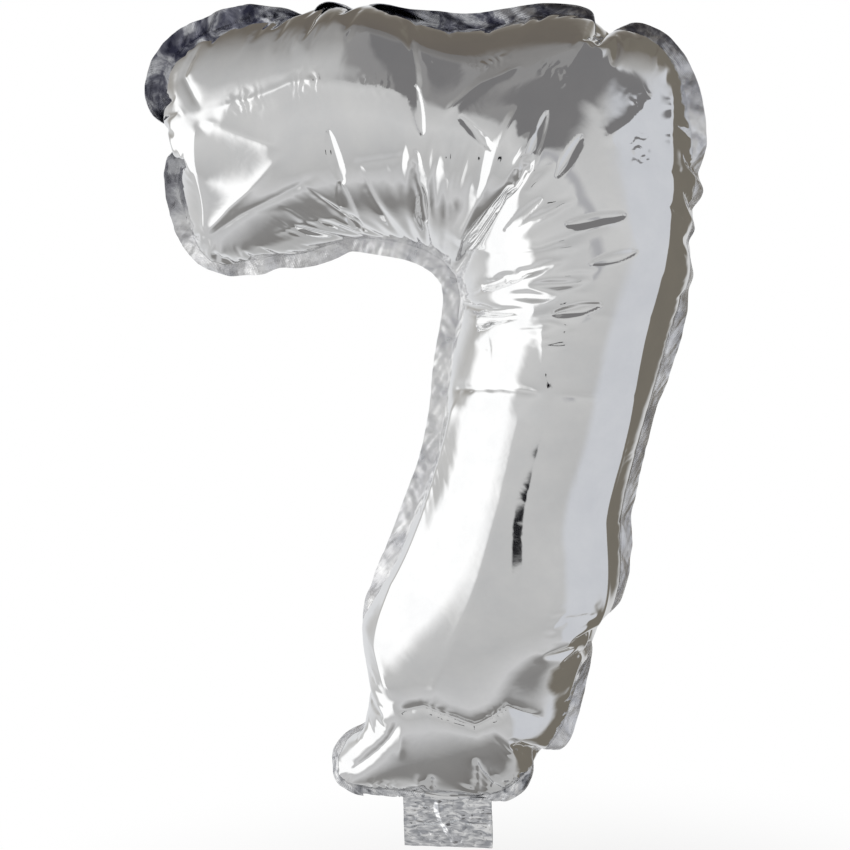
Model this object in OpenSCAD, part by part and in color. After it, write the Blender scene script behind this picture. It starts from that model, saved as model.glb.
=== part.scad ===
// Foil number balloon, figure seven, blown up. Millimetres.
// Two foil films are welded together round a wide margin. The weld line is where the margin meets the
// bulging panels. A tail at the foot holds the filling channel, and two thin films behind it are the valve.
// X runs along the top bar, Z is up and the front of the figure faces -Y. The origin is the hanging point,
// on the top margin straight above the centre of mass.

/* [Figure] */
// Height from the top margin to the bottom margin
figure_h = 351; // [300:1:420]
// Width over the bar, margins left out
bar_w = 235; // [215:1:290]
// Height of the top bar between its weld lines
stroke = 97; // [80:1:110]
// Thickness of the blown-up figure
depth = 84; // [50:1:100]
// Slant of the leg's right edge from upright, in degrees
leg_slant = 13; // [8:0.1:16]
// Width of the foot between its weld lines
foot_w = 100; // [80:1:110]
// Rise of the foot's bottom edge from left to right, in degrees
foot_rise = 9; // [0:0.5:10]
// Rise of the bar's lower edge from its left end to the inner corner, in degrees
bar_rise = 8; // [0:0.5:10]

/* [Welds] */
// Width of the welded margin outside the weld line
margin_w = 6.5; // [4:0.5:9]
// Thickness of one foil film
film_t = 0.3; // [0.2:0.05:0.5]
// Radius of the inner corner, at the weld line
inner_r = 27; // [20:1:40]
// Radius of the top right corner, at the weld line
outer_r = 32; // [20:1:45]
// Radius of the free corners, at the weld line
end_r = 14; // [10:1:24]

/* [Tail] */
// Width of the filling tail
tail_w = 40; // [30:1:50]
// Length of the tail below the fold line, lips included
tail_l = 22; // [16:1:30]
// Length of the lips that part round the straw
lip_l = 8; // [5:1:10]
// Width of the filling channel
channel_w = 15; // [12:1:18]
// How far the channel stands open on each side of the middle
channel_open = 0.8; // [0.4:0.1:0.9]

/* [Valve] */
// Width of the valve films
valve_w = 22; // [18:1:26]
// Length of the valve films inside the figure
valve_l = 55; // [40:1:70]

/* [Hidden] */
// Distance of the hanging point from the left end of the bar
hang_x = 135.5;
// How far the bar's left end leans in towards its foot
end_lean = 10;
// Length of the bar's lower edge, from its left end to the inner corner
lower_edge = 127;
// Gap at the tail's fold line, and between the lips and the tail
fold_gap = 0.8;
lip_gap = 0.3;
// Depth of the pockets that the valve films lie in
pocket = 0.13;
// Thickness of a valve film
valve_t = 0.1;
// Steps along the bar, round the bend, down the leg, and across the figure
bar_steps = 14;
bend_steps = 12;
leg_steps = 18;
cross_steps = 18;
// Rows of raised bars in the tail's heat seal, and how far apart they are
bar_rows = 5;
bar_pitch = 2.1;
// Length over which each end of the figure swells to its full depth
swell_l = 52;

leaf_l = tail_l - lip_l - fold_gap;
lip_z = lip_l - tail_l;

// ---- Weld line of the figure, drawn in X and Z. The tail's fold line is at Z 0, level with the lowest margin.

function lerp(a, b, u) = a + (b - a) * u;
function unit(v) = v / norm(v);

// Corners of the two long edges: the outer one runs along the top and down the right, the inner one along
// the bar's lower edge and down the left of the leg.
top_z = figure_h - margin_w;
foot_slope = [cos(foot_rise), sin(foot_rise)];
outer_corner = [margin_w + bar_w, top_z];
outer_start = [margin_w, top_z];
outer_end_z = margin_w + foot_w * foot_slope.y;
outer_end = [outer_corner.x - tan(leg_slant) * (top_z - outer_end_z), outer_end_z];
inner_end = outer_end - foot_w * foot_slope;
inner_start = [margin_w + end_lean, top_z - stroke];
inner_corner = [inner_start.x + lower_edge, inner_start.y + lower_edge * tan(bar_rise)];
foot_middle = (outer_end + inner_end) / 2;
tail_x = foot_middle.x;

// Points of the arc of radius r that rounds corner b of the path a-b-c
function corner_arc(a, b, c, r, steps) =
    let (u = unit(a - b), v = unit(c - b),
         half = acos(u * v) / 2,
         centre = b + unit(u + v) * r / sin(half),
         from = b + u * r / tan(half) - centre,
         to = b + v * r / tan(half) - centre,
         sweep = 180 - 2 * half)
    [for (i = [0 : steps])
        centre + (from * sin(sweep * (1 - i / steps)) + to * sin(sweep * i / steps)) / sin(sweep)];

// One long edge: a straight, an arc and a straight, with the steps drawn closer together at the free ends
function long_edge(start, corner, end, r) =
    let (arc = corner_arc(start, corner, end, r, bend_steps))
    concat([for (i = [0 : bar_steps - 1]) lerp(start, arc[0], 1 - cos(90 * i / bar_steps))],
           arc,
           [for (i = [1 : leg_steps]) lerp(arc[bend_steps], end, sin(90 * i / leg_steps))]);

outer_edge = long_edge(outer_start, outer_corner, outer_end, outer_r);
inner_edge = long_edge(inner_start, inner_corner, inner_end, inner_r);
last = len(outer_edge) - 1;

// How far a round corner of radius r draws an edge in, at distance d from the figure's end
function drawn_in(d, r) = d >= r ? 0 : r - sqrt(r * r - (r - d) * (r - d));

function end_distance(edge, i) = min(norm(edge[i] - edge[0]), norm(edge[i] - edge[last]));

// Rib i crosses the figure: its outer end and its inner end, on the weld line
function rib(i) =
    let (a = outer_edge[i], b = inner_edge[i], across = unit(b - a))
    [a + across * drawn_in(end_distance(outer_edge, i), end_r),
     b - across * drawn_in(end_distance(inner_edge, i), end_r)];

ribs = [for (i = [0 : last]) rib(i)];
middles = [for (r = ribs) (r[0] + r[1]) / 2];

// Half depth of the figure on rib i: full in the middle, more where the figure is wide, none at the ends
function half_depth(i) =
    let (d = min(norm(middles[i] - middles[0]), norm(middles[i] - middles[last])),
         swell = d >= swell_l ? 1 : sqrt(1 - pow(1 - d / swell_l, 2)),
         width = norm(ribs[i][0] - ribs[i][1]))
    depth / 2 * swell * min(1, pow(width / stroke, 0.3) * 0.92);

// The weld line as one closed outline, and the same outline moved outwards by d
weld_line = concat([for (r = ribs) r[0]], [for (i = [last : -1 : 0]) ribs[i][1]]);

function outward(points, i) =
    let (n = len(points),
         before = points[(i + n - 1) % n], after = points[(i + 1) % n],
         along = unit(after - before))
    [-along.y, along.x];

function moved_out(points, d) = [for (i = [0 : len(points) - 1]) points[i] + outward(points, i) * d];

// ---- Panels

// Grid of points of a dome over the weld line, drawn in by wall all round and in depth
function dome(wall) =
    [for (i = [0 : last])
        let (end_in = i == 0 ? 1 : i == last ? -1 : 0,
             mid = middles[i] + unit(middles[min(i + 1, last)] - middles[max(i - 1, 0)]) * wall * end_in,
             half = (ribs[i][1] - ribs[i][0]) / 2,
             shrink = 1 - wall / norm(half),
             swell = half_depth(i) * (1 - 2 * wall / depth))
        for (j = [0 : cross_steps])
            let (p = mid - half * cos(180 * j / cross_steps) * shrink)
            [p.x, -swell * sin(180 * j / cross_steps), p.y]];

function quads(rows, columns, base, flip) =
    [for (i = [0 : rows - 1], j = [0 : columns - 1])
        let (a = base + i * (columns + 1) + j, b = a + 1, c = a + columns + 2, d = a + columns + 1)
        each flip ? [[a, b, c], [a, c, d]] : [[a, c, b], [a, d, c]]];

// Indices of the points round a grid's edge
function grid_rim(rows, columns) =
    concat([for (j = [0 : columns]) j],
           [for (i = [1 : rows]) i * (columns + 1) + columns],
           [for (j = [columns - 1 : -1 : 0]) rows * (columns + 1) + j],
           [for (i = [rows - 1 : -1 : 1]) i * (columns + 1)]);

module panel_shell() {
    outside = dome(0);
    inside = dome(film_t);
    count = len(outside);
    edge = grid_rim(last, cross_steps);
    rim = [for (k = [0 : len(edge) - 1])
              let (a = edge[k], b = edge[(k + 1) % len(edge)])
              each [[a, b, b + count], [a, b + count, a + count]]];
    polyhedron(concat(outside, inside),
               concat(quads(last, cross_steps, 0, false), quads(last, cross_steps, count, true), rim));
}

// ---- Margins

// Flat outline drawn in X and Z, t thick, from the middle plane towards -Y
module film(t) {
    rotate([90, 0, 0]) linear_extrude(t) children();
}

module margin_outline() {
    difference() {
        polygon(moved_out(weld_line, margin_w));
        polygon(weld_line);
    }
    shoulder();
}

// Widening that joins the bottom margin to the tail
module shoulder() {
    half_top = tail_w / 2 + 4;
    top_l = foot_middle - foot_slope * half_top - [0, margin_w - 1];
    top_r = foot_middle + foot_slope * half_top - [0, margin_w - 1];
    polygon([top_l, top_r, [tail_x + tail_w / 2, 1], [tail_x + tail_w / 2, 0],
             [tail_x - tail_w / 2, 0], [tail_x - tail_w / 2, 1]]);
}

module margin_film() {
    difference() {
        film(film_t) margin_outline();
        translate([tail_x - valve_w / 2, -pocket, -1])
            cube([valve_w, 2 * pocket, foot_middle.y + 4]);
    }
}

// ---- Tail, drawn with its width along X and its layers along Y, and drawn out along Z

function channel(x) =
    abs(x) >= channel_w / 2 ? 0 : channel_open * (1 + cos(360 * x / channel_w)) / 2;

channel_stations = [for (i = [-12 : 12]) i * channel_w / 24];

// Section of a layer w wide that lies between two distances in front of the channel's middle
module layer_section(w, near, far) {
    xs = concat([-w / 2], [for (x = channel_stations) if (abs(x) < w / 2) x], [w / 2]);
    back = [for (x = xs) [x, -channel(x) - near]];
    front = [for (i = [len(xs) - 1 : -1 : 0]) [xs[i], -channel(xs[i]) - far]];
    polygon(concat(back, front));
}

module tail_layer(top, length, w, near, far) {
    translate([tail_x, 0, top - length]) linear_extrude(length) layer_section(w, near, far);
}

// Raised bars of the tail's heat seal, on both sides of the channel
module seal_bars(top) {
    bar_l = (tail_w - channel_w) / 2 - 3;
    bar_x = (tail_w - 3 - bar_l) / 2;
    for (side = [-1, 1], row = [1 : bar_rows])
        translate([tail_x + side * bar_x - bar_l / 2, -film_t - 0.12, top - row * bar_pitch - 0.8])
            cube([bar_l, 0.2, 0.8]);
}

module tail_leaf() {
    difference() {
        tail_layer(-fold_gap, leaf_l, tail_w, 0, film_t);
        tail_layer(-fold_gap + 1, leaf_l + 2, valve_w, -1, pocket);
    }
    seal_bars(-fold_gap);
}

module tail_liner() {
    tail_layer(-fold_gap, leaf_l, valve_w - 0.2, 0.01, 0.01 + valve_t);
}

module mouth_lip() {
    tail_layer(lip_z - lip_gap, lip_l - lip_gap, tail_w - 0.4, 0.02, film_t);
}

// ---- Valve

// Lower ends of the valve films, held in the weld between the margins
module weld_strip() {
    translate([tail_x - valve_w / 2 + 0.1, -0.01 - valve_t, 0])
        cube([valve_w - 0.2, valve_t, foot_middle.y - 2.2]);
}

// A valve film, narrower at its free upper end
module valve_film() {
    base = foot_middle.y + 3.5;
    translate([tail_x, -0.15, 0]) film(2 * valve_t)
        polygon([[-valve_w / 2, base], [valve_w / 2, base],
                 [valve_w / 2 - 3, base + valve_l], [-valve_w / 2 + 3, base + valve_l]]);
}

// ---- Nodes

module placed() {
    translate([-hang_x, 0, -figure_h]) children();
}

module behind() {
    mirror([0, 1, 0]) children();
}

module front_panel() {
    color([0.80, 0.81, 0.82]) placed() panel_shell();
}

module back_panel() {
    color([0.80, 0.81, 0.82]) placed() behind() panel_shell();
}

module front_margin() {
    color([0.55, 0.56, 0.60]) placed() margin_film();
}

module back_margin() {
    color([0.55, 0.56, 0.60]) placed() behind() margin_film();
}

module valve_weld_strips() {
    color([0.90, 0.92, 0.94]) placed() {
        weld_strip();
        behind() weld_strip();
    }
}

module valve_front_film() {
    color([0.90, 0.92, 0.94]) placed() valve_film();
}

module valve_back_film() {
    color([0.90, 0.92, 0.94]) placed() behind() valve_film();
}

module tail_front_leaf() {
    color([0.66, 0.66, 0.69]) placed() tail_leaf();
}

module tail_back_leaf() {
    color([0.66, 0.66, 0.69]) placed() behind() tail_leaf();
}

module tail_front_liner() {
    color([0.90, 0.92, 0.94]) placed() tail_liner();
}

module tail_back_liner() {
    color([0.90, 0.92, 0.94]) placed() behind() tail_liner();
}

module mouth_front_lip() {
    color([0.66, 0.66, 0.69]) placed() mouth_lip();
}

module mouth_back_lip() {
    color([0.66, 0.66, 0.69]) placed() behind() mouth_lip();
}

front_panel();
back_panel();
front_margin();
back_margin();
valve_weld_strips();
valve_front_film();
valve_back_film();
tail_front_leaf();
tail_back_leaf();
tail_front_liner();
tail_back_liner();
mouth_front_lip();
mouth_back_lip();
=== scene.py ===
"""Mirror-silver foil balloon shaped as the numeral seven.

Two flat films are cut to one outline, welded along it and blown up by the solver below. That makes
the bulging panels and the scalloped margin; small pulls and pressed creases then finish them. The
tail is made by formula. Lengths in the pattern and the solver are millimetres, and what is built
from them is in metres.
"""
import math

import bpy
import numpy as np
from mathutils import Matrix, Vector
from mathutils.geometry import delaunay_2d_cdt


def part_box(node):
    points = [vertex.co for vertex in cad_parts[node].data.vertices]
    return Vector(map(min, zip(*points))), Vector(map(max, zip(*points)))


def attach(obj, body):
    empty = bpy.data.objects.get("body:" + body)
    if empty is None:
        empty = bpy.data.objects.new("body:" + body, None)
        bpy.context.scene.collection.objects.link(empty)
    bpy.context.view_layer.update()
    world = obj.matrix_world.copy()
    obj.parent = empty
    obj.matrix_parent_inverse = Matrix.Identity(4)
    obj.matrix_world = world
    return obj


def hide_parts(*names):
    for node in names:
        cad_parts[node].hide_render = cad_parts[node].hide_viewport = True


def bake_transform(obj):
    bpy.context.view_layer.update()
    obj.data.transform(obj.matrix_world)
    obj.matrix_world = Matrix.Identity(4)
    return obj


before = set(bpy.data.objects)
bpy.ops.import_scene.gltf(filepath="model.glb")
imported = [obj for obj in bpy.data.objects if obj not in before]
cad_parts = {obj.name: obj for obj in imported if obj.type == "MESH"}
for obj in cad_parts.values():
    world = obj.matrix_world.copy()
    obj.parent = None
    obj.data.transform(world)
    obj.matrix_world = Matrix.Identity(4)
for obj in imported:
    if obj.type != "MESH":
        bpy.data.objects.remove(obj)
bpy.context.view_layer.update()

# ---------------------------------------------------------------- driving dimensions
MM = 0.001
TAIL_X = -0.0178          # the tail's middle, metres in the CAD frame
FOLD_Z = -0.351           # where the tail folds against the figure
LIP_Z = -0.365            # where the mouth's lips start
MARGIN_W = 6.5            # welded margin, mm from here on
TAIL_HALF = 20.0          # half the tail's width
TAIL_LEN = 22.0           # the tail below its fold line, lips included
THROAT_HALF = 10.0        # half the gas channel's width where it leaves the foot
THROAT_DEEP = 8.0         # how far the channel runs down from the weld line
WELD_STEP = 8.0           # spacing of points along the weld line before refining
FILM_STEP = 6.4           # spacing of points over the films before refining
PATTERN_SEED, START_SEED = 7, 3
# Each level of the solver: steps, and how far the gas pushes one square mm of film in a step.
BLOWING = [(900, 0.00025), (500, 0.00015), (400, 0.0001)]
LEVELS = len(BLOWING)
# Weld line of the flat pattern, anticlockwise from its top left corner: right of the tail's
# middle and above the tail's fold line, in mm.
WELD_POINTS = [
    (-108, 356), (-117, 340), (-125, 305), (-118, 270), (-111, 262), (-101, 258), (-75, 251),
    (-46, 247), (-14, 229), (-16, 192), (-23, 159), (-32, 127), (-39, 95), (-45, 63), (-48, 32),
    (-49, 20), (-43, 7), (-15, 3), (14, 3), (41, 14), (58, 27), (71, 43), (85, 80), (95, 119),
    (102, 158), (110, 197), (116, 236), (120, 275), (112, 310), (90, 333), (63, 348), (36, 355),
    (4, 360), (-28, 366), (-61, 370), (-93, 366),
]

# Small pulls on the blown-up figure, mm: place (right, up) and pull (right, up).
PULLS = [
    (33, 6, 3, -3), (54, 23, -2, 3), (70, 50, -20, 0), (65, 82, 13, -3), (81, 107, -8, 1),
    (100, 232, 7, -2), (110, 261, -3, 1), (108, 293, -3, -2), (89, 310, 4, 7), (65, 315, 3, 5),
    (34, 325, 1, -5), (-26, 311, 0, 14), (-87, 317, -3, 9), (-109, 303, -9, 3), (-104, 281, -4, -1),
    (-111, 260, 7, 0), (-86, 211, -1, 9), (-54, 216, -3, 6), (-25, 224, 0, 2), (4, 186, -4, 0),
    (-29, 64, -14, 1), (-42, 37, 17, 0), (-48, 7, -14, -1),
]
PULL_REACH = 22.0         # spread of each pull
SWELL = 1.063             # scale of the figure after blowing up; the tail keeps its width

# Creases pressed into the film: kind, half width, height (negative is a groove) and a line on
# the flat pattern, all mm. A ridge is a sharp kink, a lens a pointed dent, and a crinkle a row
# of ripples along its line.
CREASES = [
    # folds left by the packet: one up the bar, two across the leg, one across the foot
    ("ridge", 3.0, -0.90, [(5, 348), (6, 321), (5, 308)]),
    ("ridge", 2.8, -1.00, [(9, 210), (36, 214), (52, 217)]),
    ("ridge", 2.2, -0.25, [(52, 217), (95, 212)]),
    ("ridge", 3.0, -1.10, [(-2, 183), (29, 186), (48, 185)]),
    ("ridge", 2.4, -0.40, [(48, 185), (92, 180)]),
    ("ridge", 3.6, -1.70, [(-16, 48), (-2, 53), (18, 46), (36, 54), (54, 43)]),
    ("crinkle", 3.0, 0.16, [(-16, 48), (-2, 53), (18, 46), (36, 54), (54, 43)]),
    # pointed dents in chains
    ("lens", 2.8, -0.75, [(5, 314), (4, 296)]),
    ("lens", 3.2, -0.85, [(0, 291), (-4, 276), (-12, 258)]),
    ("lens", 3.0, -0.80, [(-33, 306), (-35, 286)]),
    ("lens", 3.4, -0.90, [(-36, 287), (-44, 256)]),
    ("lens", 2.6, -0.80, [(54, 251), (76, 254)]),
    ("lens", 2.6, -0.80, [(42, 272), (52, 293)]),
    ("lens", 2.4, -0.70, [(53, 269), (64, 282)]),
    ("lens", 2.8, -1.00, [(49, 216), (66, 220)]),
    # kinks fanning out of the inner corner
    ("ridge", 4.5, 1.10, [(-3, 245), (27, 276), (44, 300)]),
    ("ridge", 3.2, 0.80, [(5, 247), (33, 269), (49, 290)]),
    ("ridge", 3.6, 0.90, [(-4, 240), (45, 243), (74, 253)]),
    ("ridge", 2.6, 0.50, [(6, 262), (12, 292)]),
    ("ridge", 2.2, 0.55, [(12, 300), (30, 312), (46, 316)]),
    ("ridge", 2.0, -0.60, [(16, 262), (30, 292)]),
    ("lens", 2.4, -0.60, [(23, 255), (37, 275)]),
    ("lens", 2.2, -0.60, [(29, 249), (47, 262)]),
    ("ridge", 2.6, 0.60, [(26, 228), (62, 233)]),
    ("lens", 2.4, -0.70, [(12, 226), (36, 230)]),
    ("ridge", 2.2, -0.50, [(19, 208), (25, 188)]),
    ("ridge", 2.6, 0.60, [(45, 215), (47, 186)]),
    ("ridge", 2.0, -0.45, [(10, 203), (36, 199)]),
    ("ridge", 3.0, 0.60, [(55, 298), (70, 317), (82, 322)]),
    ("lens", 2.2, -0.60, [(20, 300), (30, 284)]),
    ("lens", 2.4, -0.60, [(62, 236), (78, 240)]),
    # the bar's faceted end
    ("ridge", 5.0, 0.80, [(-84, 329), (-52, 306)]),
    ("ridge", 5.0, 0.70, [(-52, 306), (-80, 293), (-108, 280)]),
    ("ridge", 5.0, 1.00, [(-84, 330), (-94, 311), (-109, 279)]),
    ("ridge", 3.0, -0.80, [(-79, 362), (-88, 349), (-81, 331)]),
    ("ridge", 2.0, -0.90, [(-112, 271), (-104, 260)]),
    ("ridge", 2.2, -0.45, [(-107, 279), (-84, 284), (-61, 289), (-42, 293)]),
    ("ridge", 2.0, -0.45, [(-30, 293), (-15, 291), (-2, 290)]),
    ("ridge", 2.4, 0.45, [(-78, 270), (-60, 272), (-44, 270)]),
    ("crinkle", 3.5, 0.14, [(-77, 329), (-44, 326), (-19, 316), (3, 311)]),
    ("ridge", 3.0, 0.40, [(-77, 329), (-44, 326), (-19, 316), (3, 311)]),
    ("crinkle", 3.0, 0.16, [(8, 322), (40, 322), (66, 300)]),
    ("crinkle", 4.0, 0.22, [(71, 279), (99, 296)]),
    ("ridge", 4.0, 0.60, [(71, 279), (85, 286), (100, 298)]),
    ("crinkle", 5.0, 0.14, [(84, 300), (90, 262)]),
    # long kinks down the leg
    ("ridge", 6.0, 1.10, [(4, 181), (-8, 150), (-20, 101), (-15, 53)]),
    ("ridge", 7.0, 0.60, [(39, 181), (30, 141), (12, 84), (2, 55)]),
    ("ridge", 6.0, 1.10, [(108, 302), (100, 263), (88, 229), (84, 171), (77, 113), (67, 44)]),
    # the foot and its throat
    ("ridge", 2.5, -1.00, [(-15, 46), (-28, 28), (-41, 11)]),
    ("ridge", 2.5, 0.60, [(-15, 46), (-18, 24)]),
    ("ridge", 2.0, -0.90, [(-4, 20), (-6, 4)]),
    ("ridge", 2.6, -1.60, [(16, 32), (13, 5)]),
    ("ridge", 2.4, 0.90, [(20, 30), (21, 8)]),
    ("ridge", 2.2, 0.90, [(-9, 20), (-11, 5)]),
    ("crinkle", 4.0, 0.30, [(-40, 9), (-12, 5)]),
    ("crinkle", 4.0, 0.30, [(24, 8), (50, 20)]),
    ("ridge", 2.6, 0.70, [(22, 26), (27, 11)]),
    ("ridge", 2.4, -0.60, [(34, 34), (42, 18)]),
]


# ---------------------------------------------------------------- flat pattern
def closed_curve(points, per_span=8):
    """Centripetal Catmull-Rom curve through a closed ring of points."""
    p = np.asarray(points, float)
    out = []
    for i in range(len(p)):
        p0, p1, p2, p3 = p[i - 1], p[i], p[(i + 1) % len(p)], p[(i + 2) % len(p)]
        t1 = np.linalg.norm(p1 - p0) ** 0.5
        t2 = t1 + np.linalg.norm(p2 - p1) ** 0.5
        t3 = t2 + np.linalg.norm(p3 - p2) ** 0.5
        for j in range(per_span):
            t = t1 + (t2 - t1) * j / per_span
            a1 = (t1 - t) / t1 * p0 + t / t1 * p1
            a2 = (t2 - t) / (t2 - t1) * p1 + (t - t1) / (t2 - t1) * p2
            a3 = (t3 - t) / (t3 - t2) * p2 + (t - t2) / (t3 - t2) * p3
            b1 = (t2 - t) / t2 * a1 + t / t2 * a2
            b2 = (t3 - t) / (t3 - t1) * a2 + (t - t1) / (t3 - t1) * a3
            out.append((t2 - t) / (t2 - t1) * b1 + (t - t1) / (t2 - t1) * b2)
    return np.array(out)


def evenly(ring, step):
    """Points about a step apart round a closed ring."""
    closed = np.vstack([ring, ring[:1]])
    run = np.concatenate([[0], np.cumsum(np.linalg.norm(np.diff(closed, axis=0), axis=1))])
    count = int(round(run[-1] / step))
    at = np.arange(count) * run[-1] / count
    return np.stack([np.interp(at, run, closed[:, k]) for k in range(2)], 1)


def between(p, q, step):
    """Points after p up to and including q."""
    count = max(1, int(round(np.linalg.norm(q - p) / step)))
    return [p + (q - p) * j / count for j in range(1, count + 1)]


def with_throat(ring, step):
    """Opens the weld line at the foot's middle into a short channel towards the tail."""
    low = (np.abs(ring[:, 0]) < THROAT_HALF + 1.5) & (ring[:, 1] < 60)
    first = [i for i in np.flatnonzero(low) if not low[i - 1]][0]
    foot = ring[(np.abs(ring[:, 0]) < 45) & (ring[:, 1] < 60)]
    foot = foot[np.argsort(foot[:, 0])]
    rest = np.roll(ring, -first, 0)[int(low.sum()):]
    left_z, right_z = (np.interp(x, foot[:, 0], foot[:, 1]) for x in (-THROAT_HALF, THROAT_HALF))
    start, end = np.array([-THROAT_HALF, left_z]), np.array([THROAT_HALF, right_z])
    low_left = np.array([-0.8 * THROAT_HALF, left_z - THROAT_DEEP])
    low_right = np.array([0.8 * THROAT_HALF, left_z - THROAT_DEEP])
    throat = [start, *between(start, low_left, step), *between(low_left, low_right, step)]
    return np.vstack([np.array(throat + between(low_right, end, step)), rest])


def weld_ring():
    """The weld line with its throat, as points that the films share."""
    return with_throat(evenly(closed_curve(WELD_POINTS), WELD_STEP), WELD_STEP)


def offset_out(ring, d):
    t = np.roll(ring, -1, 0) - np.roll(ring, 1, 0)
    t /= np.linalg.norm(t, axis=1)[:, None]
    return ring + np.stack([t[:, 1], -t[:, 0]], -1) * d


def inside(ring, q):
    hit = np.zeros(len(q), bool)
    for (x0, y0), (x1, y1) in zip(ring, np.roll(ring, -1, 0)):
        if y0 != y1:
            spans = (y0 > q[:, 1]) != (y1 > q[:, 1])
            hit ^= spans & (q[:, 0] < (x1 - x0) * (q[:, 1] - y0) / (y1 - y0) + x0)
    return hit


def distance_to(ring, q):
    d = np.full(len(q), 1e9)
    for p0, p1 in zip(ring, np.roll(ring, -1, 0)):
        e = p1 - p0
        t = np.clip(((q - p0) @ e) / (e @ e), 0, 1)
        d = np.minimum(d, np.linalg.norm(q - (p0 + t[:, None] * e), axis=1))
    return d


def uncrossed(outer, weld):
    """Drops points of the outer edge where its segments cross."""
    def turn(p, q, r):
        a, b = q - p, r - p
        return a[..., 0] * b[..., 1] - a[..., 1] * b[..., 0]

    for _ in range(20):
        a = np.concatenate([outer, weld])
        b = np.concatenate([np.roll(outer, -1, 0), np.roll(weld, -1, 0)])
        p, q, r, s = a[:, None], b[:, None], a[None], b[None]
        crossing = (turn(p, q, r) * turn(p, q, s) < -1e-9) & (turn(r, s, p) * turn(r, s, q) < -1e-9)
        bad = crossing[:len(outer)].any(1)
        if not bad.any():
            break
        bad |= np.roll(bad, 1)
        bad &= ~((np.abs(outer[:, 0]) < TAIL_HALF + 0.5) & (outer[:, 1] < 0.5))
        outer = outer[~bad]
    return outer


def loose_grid(low, high, step, rng, jitter=0.12):
    """A triangular grid over a box, each point moved a little at random."""
    rows, cols = int((high[1] - low[1]) / (step * 0.866)) + 2, int((high[0] - low[0]) / step) + 2
    j, i = np.mgrid[0:rows, 0:cols]
    p = np.stack([low[0] + (i + 0.5 * (j % 2)) * step, low[1] + j * step * 0.866], -1).reshape(-1, 2)
    return p + rng.uniform(-jitter, jitter, p.shape) * step


def triangles(points, edges, step, wanted):
    """Delaunay triangles that keep the given edges, where their middles are wanted."""
    got = delaunay_2d_cdt([Vector(p) for p in points.tolist()], edges, [], 0, 1e-6)
    source = np.array([o[0] for o in got[3]])
    f = source[np.array([t for t in got[2] if len(t) == 3])]
    a, b, c = points[f[:, 0]], points[f[:, 1]], points[f[:, 2]]
    area = (b[:, 0] - a[:, 0]) * (c[:, 1] - a[:, 1]) - (b[:, 1] - a[:, 1]) * (c[:, 0] - a[:, 0])
    f[area < 0] = f[area < 0][:, ::-1]
    return f[(np.abs(area) > 0.01 * step * step) & wanted(points[f].mean(1))]


def ring_edges(count, start=0):
    return [(start + i, start + (i + 1) % count) for i in range(count)]


def flat_films(rng):
    """Front panel, back panel and the one welded margin, sharing the points of the weld line.
    Gives the flat points, each point's side (-1 front, 1 back, 0 weld or margin) and the faces."""
    weld = weld_ring()
    n = len(weld)
    outer = offset_out(weld, MARGIN_W)
    near_tail = (np.abs(outer[:, 0]) < TAIL_HALF + 2.0) & (outer[:, 1] < 60)
    outer = outer[(distance_to(weld, outer) > MARGIN_W - 0.35) & ~near_tail]
    jump = np.linalg.norm(np.roll(outer, -1, 0) - outer, axis=1)
    k = [i for i in range(len(outer)) if outer[i][1] < 70 and jump[i] > 30][0]
    a, b = outer[k], outer[(k + 1) % len(outer)]
    corners = [np.array(p) for p in ((-TAIL_HALF, 0.0), (-TAIL_HALF, -TAIL_LEN),
                                     (TAIL_HALF, -TAIL_LEN), (TAIL_HALF, 0.0))]
    tail = []
    for p, q in zip([a] + corners, corners + [b]):
        tail += between(p, q, FILM_STEP)
    outer = np.concatenate([outer[:k + 1], np.array(tail[:-1]), outer[k + 1:]])
    outer = uncrossed(outer, weld)
    g = loose_grid(weld.min(0) - 10, weld.max(0) + 10, FILM_STEP, rng)
    g = g[inside(weld, g)]
    g = g[distance_to(weld, g) > 0.6 * FILM_STEP]
    front = triangles(np.concatenate([weld, g]), ring_edges(n), FILM_STEP, lambda c: inside(weld, c))
    h = loose_grid(outer.min(0) - 5, outer.max(0) + 5, FILM_STEP, rng)
    h = h[inside(outer, h) & ~inside(weld, h)]
    h = h[(distance_to(weld, h) > 0.5 * FILM_STEP) & (distance_to(outer, h) > 0.5 * FILM_STEP)]
    margin = triangles(np.concatenate([weld, outer, h]), ring_edges(n) + ring_edges(len(outer), n),
                       FILM_STEP, lambda c: inside(outer, c) & ~inside(weld, c))
    back = np.where(front >= n, front + len(g), front)[:, ::-1]
    margin = np.where(margin >= n, margin + 2 * len(g), margin)
    flat = np.concatenate([weld, g, g, outer, h])
    side = np.concatenate([np.zeros(n), -np.ones(len(g)), np.ones(len(g)),
                           np.zeros(len(outer) + len(h))])
    return flat, side, {"front": front, "back": back, "margin": margin}


# ---------------------------------------------------------------- inflation
def film_edges(faces):
    """Each edge once, with the two corners facing it (-1 where there is only one)."""
    e = np.concatenate([faces[:, [0, 1]], faces[:, [1, 2]], faces[:, [2, 0]]])
    facing = np.concatenate([faces[:, 2], faces[:, 0], faces[:, 1]])
    e = np.sort(e, 1)
    order = np.lexsort((e[:, 1], e[:, 0]))
    e, facing = e[order], facing[order]
    new = np.ones(len(e), bool)
    new[1:] = (e[1:] != e[:-1]).any(1)
    first = np.flatnonzero(new)
    count = np.bincount(np.cumsum(new) - 1)
    pair = np.full((len(first), 2), -1)
    pair[:, 0] = facing[first]
    pair[count >= 2, 1] = facing[first[count >= 2] + 1]
    return e[new], pair


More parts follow.
